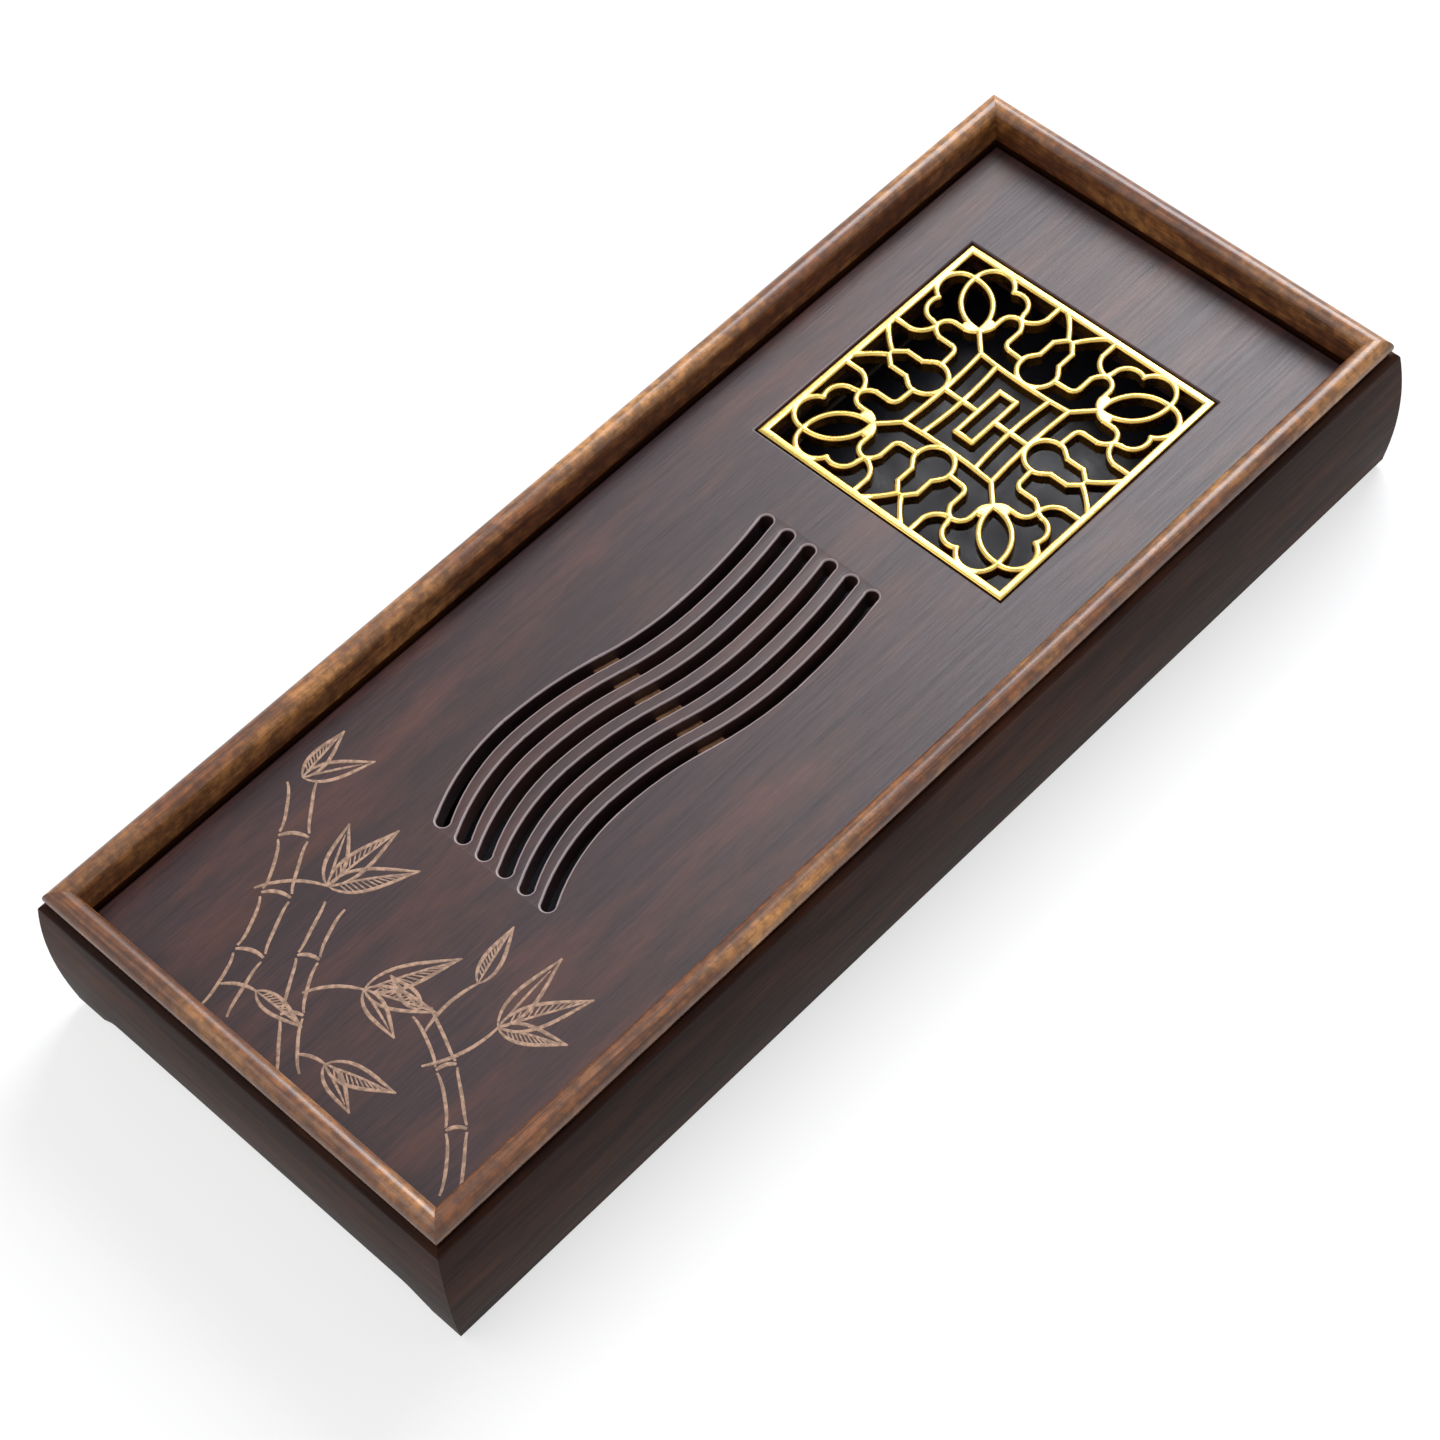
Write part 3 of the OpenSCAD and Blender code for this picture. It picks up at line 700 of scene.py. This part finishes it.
def screw_places(node):
    """For each screw of a CAD node: the middle of its head's face, the way that it
    points, its length and its head's width."""
    worked_copy(node, node + "_places")
    bpy.ops.object.mode_set(mode="EDIT")
    bpy.ops.mesh.select_all(action="SELECT")
    bpy.ops.mesh.separate(type="LOOSE")
    bpy.ops.object.mode_set(mode="OBJECT")
    places = []
    for part in list(bpy.context.selected_objects):
        points = [v.co.copy() for v in part.data.vertices]
        low = Vector([min(p[i] for p in points) for i in range(3)])
        high = Vector([max(p[i] for p in points) for i in range(3)])
        size, middle = high - low, (low + high) / 2
        axis = max(range(3), key=lambda i: size[i])
        # batten screws point up, and cleat screws point out of the tray
        sign = 1 if node == "batten_screws" or middle[axis] > 0 else -1
        way = Vector((0, 0, 0))
        way[axis] = sign
        head_at = middle.copy()
        head_at[axis] = low[axis] if sign > 0 else high[axis]
        girth = max(size[i] for i in range(3) if i != axis)
        places.append((head_at, way, size[axis], girth))
        bpy.data.objects.remove(part)
    if not places:
        raise RuntimeError("no screws found in " + node)
    return places


class TEATRAY_OT_screws(bpy.types.Operator):
    """Turn one screw of each length and set its copies where the source puts them"""
    bl_idname = "teatray.screws"
    bl_label = "Screws"

    def execute(self, context):
        for node, body in (("cleat_screws", "frame"), ("batten_screws", "board")):
            places = screw_places(node)
            long, girth = places[0][2:]
            model = turned_screw(girth * 0.53, girth, long, girth * 0.3)
            made = []
            for at, way, _, _ in sorted(places, key=lambda p: tuple(p[0])):
                one = bpy.data.objects.new(node, model.data.copy())
                context.scene.collection.objects.link(one)
                turned = way.to_track_quat("Z", "Y").to_matrix().to_4x4()
                one.matrix_world = Matrix.Translation(at) @ turned
                made.append(one)
            bpy.data.objects.remove(model)
            bpy.ops.object.select_all(action="DESELECT")
            for one in made:
                one.select_set(True)
            context.view_layer.objects.active = made[0]
            bpy.ops.object.join()
            joined = context.object
            joined.name = node + "_turned"
            bpy.ops.object.transform_apply(location=True, rotation=True, scale=True)
            smooth(joined, 30)
            settle(joined, body, zinc_plate(), [node])
        return {"FINISHED"}


# ---- carved bamboo ----

def stroke(points, width, taper=0.35):
    """One carved line: its points, each with its share of the full width, from taper at
    both ends to 1 in the middle."""
    last = len(points) - 1
    line = []
    for i, (x, y) in enumerate(points):
        along = min(max(i / last * 1.02, 0.02), 0.98)
        share = taper + (1 - taper) * math.sin(math.pi * along) ** 0.5
        line.append((x, y, width * share))
    return line


def bow(a, b, sag, count=14):
    """Points on a shallow arc from a to b that bows to the left by sag."""
    ax, ay = a
    bx, by = b
    dx, dy = bx - ax, by - ay
    long = math.hypot(dx, dy)
    nx, ny = -dy / long, dx / long
    return [(ax + dx * t + nx * sag * 4 * t * (1 - t), ay + dy * t + ny * sag * 4 * t * (1 - t))
            for t in (i / count for i in range(count + 1))]


def leaf(base, heading, long, wide, hatched):
    """A lance-shaped leaf: two edges, a midrib and, where hatched is 1 or -1, fine lines
    on that half."""
    c, s = math.cos(math.radians(heading)), math.sin(math.radians(heading))

    def at(u, v):
        """The point u along the leaf and v to its left."""
        return (base[0] + u * c - v * s, base[1] + u * s + v * c)

    def edge(t, side):
        """The point on one edge at the share t of the leaf's length."""
        swell = math.sin(math.pi * t ** 0.72) ** 1.1 * (1 - 0.25 * t)
        return at(long * t, side * wide / 2 * swell)

    steps = [i / 16 for i in range(17)]
    lines = [stroke([edge(t, side) for t in steps], 1.0, 0.3) for side in (1, -1)]
    midrib = [at(long * t * 0.82, 0.03 * wide * math.sin(3 * t)) for t in steps]
    lines.append(stroke(midrib, 0.7, 0.25))
    if hatched:
        for t in (k / 15 for k in range(2, 14)):
            a, b = at(long * t * 0.9, 0), edge(min(t + 0.09, 0.99), hatched)
            lines.append(stroke([a, ((a[0] + b[0]) / 2, (a[1] + b[1]) / 2), b], 0.5, 0.5))
    return lines


def stem(start_at, end_at, sag, wide, joints):
    """A bamboo stem: two edges broken at its joints, with a ring at each joint."""
    count = 60
    middle = bow(start_at, end_at, sag, count)

    def beside(k, x, y, off):
        """The point off to the left of (x, y), square to the stem at its point k."""
        k = min(max(k, 1), count - 1)
        dx, dy = middle[k + 1][0] - middle[k - 1][0], middle[k + 1][1] - middle[k - 1][1]
        d = math.hypot(dx, dy)
        return (x - dy / d * off, y + dx / d * off)

    lines = []
    for j in range(joints):
        first = int(count * j / joints) + (1 if j else 0)
        last = int(count * (j + 1) / joints) - 1
        run = middle[first:last + 1]
        for side in (-1, 1):
            edge = []
            for i, (x, y) in enumerate(run):
                u = i / (len(run) - 1)
                half = wide / 2 * (1 + 0.22 * (2 * u - 1) ** 4)
                edge.append(beside(first + i, x, y, half * side))
            lines.append(stroke(edge, 0.9, 0.6))
        if j:
            k = int(count * j / joints)
            a, b = (beside(k, *middle[k], wide * off) for off in (0.62, -0.62))
            lines.append(stroke(bow(a, b, wide * 0.16, 8), 1.1, 0.5))
    return lines


def bamboo_grove():
    """All carved lines, in millimetres from the board's left front corner."""
    lines = []
    stems = [  # start, end, sag, width, number of joints
        ((2, 92), (70, 130), -5, 7.0, 4), ((2, 62), (48, 92), 4, 5.2, 3),
        ((6, 3), (40, 50), -5, 4.6, 3),
    ]
    for each in stems:
        lines += stem(*each)
    twigs = [  # start, end, sag
        ((36, 113), (50, 98), 2.0), ((22, 78), (34, 66), 1.5), ((28, 37), (50, 30), -2.0),
        ((36, 44), (56, 44), 1.5), ((9, 97), (14, 88), 1.0), ((8, 65), (11, 57), 0.8),
    ]
    for a, b, sag in twigs:
        lines.append(stroke(bow(a, b, sag), 1.0, 0.5))
    leaves = [  # base, heading in degrees, length, width, hatched side
        ((50, 98), -4, 26, 7.4, 1), ((50, 98), -38, 26, 8.0, -1), ((50, 98), 30, 21, 6.4, 0),
        ((34, 66), -68, 22, 7.0, 1), ((34, 66), -28, 28, 7.6, -1), ((34, 66), -106, 18, 5.8, 0),
        ((50, 30), 5, 27, 7.2, 0), ((50, 30), -30, 27, 8.0, 1), ((50, 30), -64, 20, 6.4, -1),
        ((56, 44), 16, 20, 6.0, 1), ((40, 50), 82, 14, 4.8, 0),
        ((70, 130), 8, 19, 6.0, 1), ((70, 130), -34, 21, 6.6, 0),
        ((14, 88), -88, 18, 5.8, 1), ((11, 57), -72, 22, 7.2, -1), ((11, 57), -110, 17, 5.4, 0),
    ]
    for each in leaves:
        lines += leaf(*each)
    return lines


class TEATRAY_OT_carving(bpy.types.Operator):
    """Carve a bamboo grove in fine lines at the board's left end"""
    bl_idname = "teatray.carving"
    bl_label = "Carved bamboo"

    def execute(self, context):
        sizes = context.scene.tea_tray_sizes
        low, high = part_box("drainage_board")
        curve = bpy.data.curves.new("carved_bamboo", "CURVE")
        curve.dimensions = "3D"
        curve.bevel_depth = 1.0
        curve.bevel_resolution = 1
        curve.use_fill_caps = True
        for line in bamboo_grove():
            spline = curve.splines.new("POLY")
            spline.points.add(len(line) - 1)
            for point, (x, y, share) in zip(spline.points, line):
                point.co = (low.x + x * MM, low.y + y * MM, 0, 1)
                point.radius = share * sizes.line_width / 2
        carving = bpy.data.objects.new("carved_bamboo", curve)
        context.scene.collection.objects.link(carving)
        only(carving)
        bpy.ops.object.convert(target="MESH")
        carving = context.object
        # each line is pressed flat, and its middle sunk a little below the board's face
        flat = sizes.line_height / (sizes.line_width / 2)
        carving.scale = (1, 1, flat)
        carving.location = (0, 0, high.z - sizes.line_height / 4)
        smooth(carving, 60)
        settle(carving, "board", bared_bamboo())
        return {"FINISHED"}


# ---- stage ----

def to_camera(tree, seen, lit):
    """seen where the camera, a mirror or glass looks, and lit everywhere else."""
    path = put(tree, "ShaderNodeLightPath").outputs
    first = put(tree, "ShaderNodeMath", {0: path["Is Camera Ray"], 1: path["Is Glossy Ray"]},
                operation="MAXIMUM").outputs[0]
    both = put(tree, "ShaderNodeMath", {0: first, 1: path["Is Transmission Ray"]},
               operation="MAXIMUM").outputs[0]
    return put(tree, "ShaderNodeMixShader", {0: both, 1: lit, 2: seen}).outputs[0]


class TEATRAY_OT_stage(bpy.types.Operator):
    """Set the pale floor, the soft light and the camera"""
    bl_idname = "teatray.stage"
    bl_label = "Floor, light and camera"

    def execute(self, context):
        scene = context.scene
        scene.view_settings.view_transform = "Standard"

        bpy.ops.object.select_all(action="DESELECT")
        floor_gap = 0.4 * MM
        bpy.ops.mesh.primitive_plane_add(size=9, location=(0, 0, -floor_gap))
        floor = context.object
        floor.name = "floor"
        material = bpy.data.materials.new("pale_floor")
        material.use_nodes = True
        tree = material.node_tree
        tree.nodes.clear()
        # the camera sees a floor that is nearly white and still takes the shadow
        pale = put(tree, "ShaderNodeBsdfDiffuse", {"Color": (0.36, 0.36, 0.36, 1)}).outputs[0]
        glow = put(tree, "ShaderNodeEmission", {"Color": WHITE, "Strength": 0.66}).outputs[0]
        seen = put(tree, "ShaderNodeAddShader", {0: pale, 1: glow}).outputs[0]
        lit = put(tree, "ShaderNodeBsdfDiffuse", {"Color": (0.8, 0.8, 0.8, 1)}).outputs[0]
        put(tree, "ShaderNodeOutputMaterial", {"Surface": to_camera(tree, seen, lit)})
        floor.data.materials.append(material)

        world = scene.world or bpy.data.worlds.new("soft_room")
        scene.world = world
        world.use_nodes = True
        tree = world.node_tree
        tree.nodes.clear()
        room = put(tree, "ShaderNodeBackground", {
            "Color": (0.95, 0.97, 1.0, 1), "Strength": 0.43}).outputs[0]
        white = put(tree, "ShaderNodeBackground", {"Color": WHITE, "Strength": 1.0}).outputs[0]
        put(tree, "ShaderNodeOutputWorld", {"Surface": to_camera(tree, white, room)})

        def soft_light(name, at, aim, side, power, tint):
            """A square lamp of side metres at a place, turned to its aim."""
            lamp = bpy.data.lights.new(name, "AREA")
            lamp.shape = "SQUARE"
            lamp.size = side
            lamp.energy = power
            lamp.color = tint
            made = bpy.data.objects.new(name, lamp)
            scene.collection.objects.link(made)
            made.location = at
            made.rotation_euler = (Vector(aim) - Vector(at)).to_track_quat("-Z", "Y").to_euler()

        soft_light("window_beyond", (1.06, 0.36, 1.12), (0.1, 0.0, 0.0), 0.9, 27, (0.93, 0.95, 1.0))
        soft_light("soft_overhead", (-0.9, 0.2, 1.3), (0.0, 0.0, 0.0), 1.2, 7, (1.0, 0.98, 0.95))

        # fitted to the edges and corners in the photo
        camera = bpy.data.cameras.new("photo_camera")
        camera.sensor_width = 36
        camera.lens = 96.55
        camera.shift_x = 0.0079
        camera.shift_y = -0.0430
        camera.clip_start = 0.05
        camera.clip_end = 20
        view = bpy.data.objects.new("photo_camera", camera)
        scene.collection.objects.link(view)
        view.location = (-0.43212, -0.48888, 0.94410)
        view.rotation_euler = [math.radians(a) for a in (35.4887, 4.0165, -46.1083)]
        scene.camera = view
        return {"FINISHED"}


class TEATRAY_PT_panel(bpy.types.Panel):
    """The tea tray's sizes, colours and steps"""
    bl_idname = "TEATRAY_PT_panel"
    bl_label = "Tea tray"
    bl_space_type = "VIEW_3D"
    bl_region_type = "UI"
    bl_category = "Tea tray"

    def draw(self, context):
        for group in (context.scene.tea_tray_sizes, context.scene.tea_tray_colours):
            box = self.layout.box()
            for key in group.__annotations__:
                box.prop(group, key)
        for step in STEPS:
            self.layout.operator(step.bl_idname)


STEPS = (
    TEATRAY_OT_rails, TEATRAY_OT_beads, TEATRAY_OT_board, TEATRAY_OT_carving, TEATRAY_OT_grille,
    TEATRAY_OT_inner_wood, TEATRAY_OT_screws, TEATRAY_OT_water_tray, TEATRAY_OT_stage,
)
CLASSES = (TeaTraySizes, TeaTrayColours) + STEPS + (TEATRAY_PT_panel,)


def register():
    """Adds the classes, and the sizes and colours to every scene."""
    for each in CLASSES:
        bpy.utils.register_class(each)
    bpy.types.Scene.tea_tray_sizes = bpy.props.PointerProperty(type=TeaTraySizes)
    bpy.types.Scene.tea_tray_colours = bpy.props.PointerProperty(type=TeaTrayColours)


def unregister():
    """Takes away what register adds."""
    del bpy.types.Scene.tea_tray_colours
    del bpy.types.Scene.tea_tray_sizes
    for each in reversed(CLASSES):
        bpy.utils.unregister_class(each)


def main():
    """Runs every step."""
    register()
    for step in STEPS:
        group, name = step.bl_idname.split(".")
        getattr(getattr(bpy.ops, group), name)()


if __name__ == "__main__":
    main()
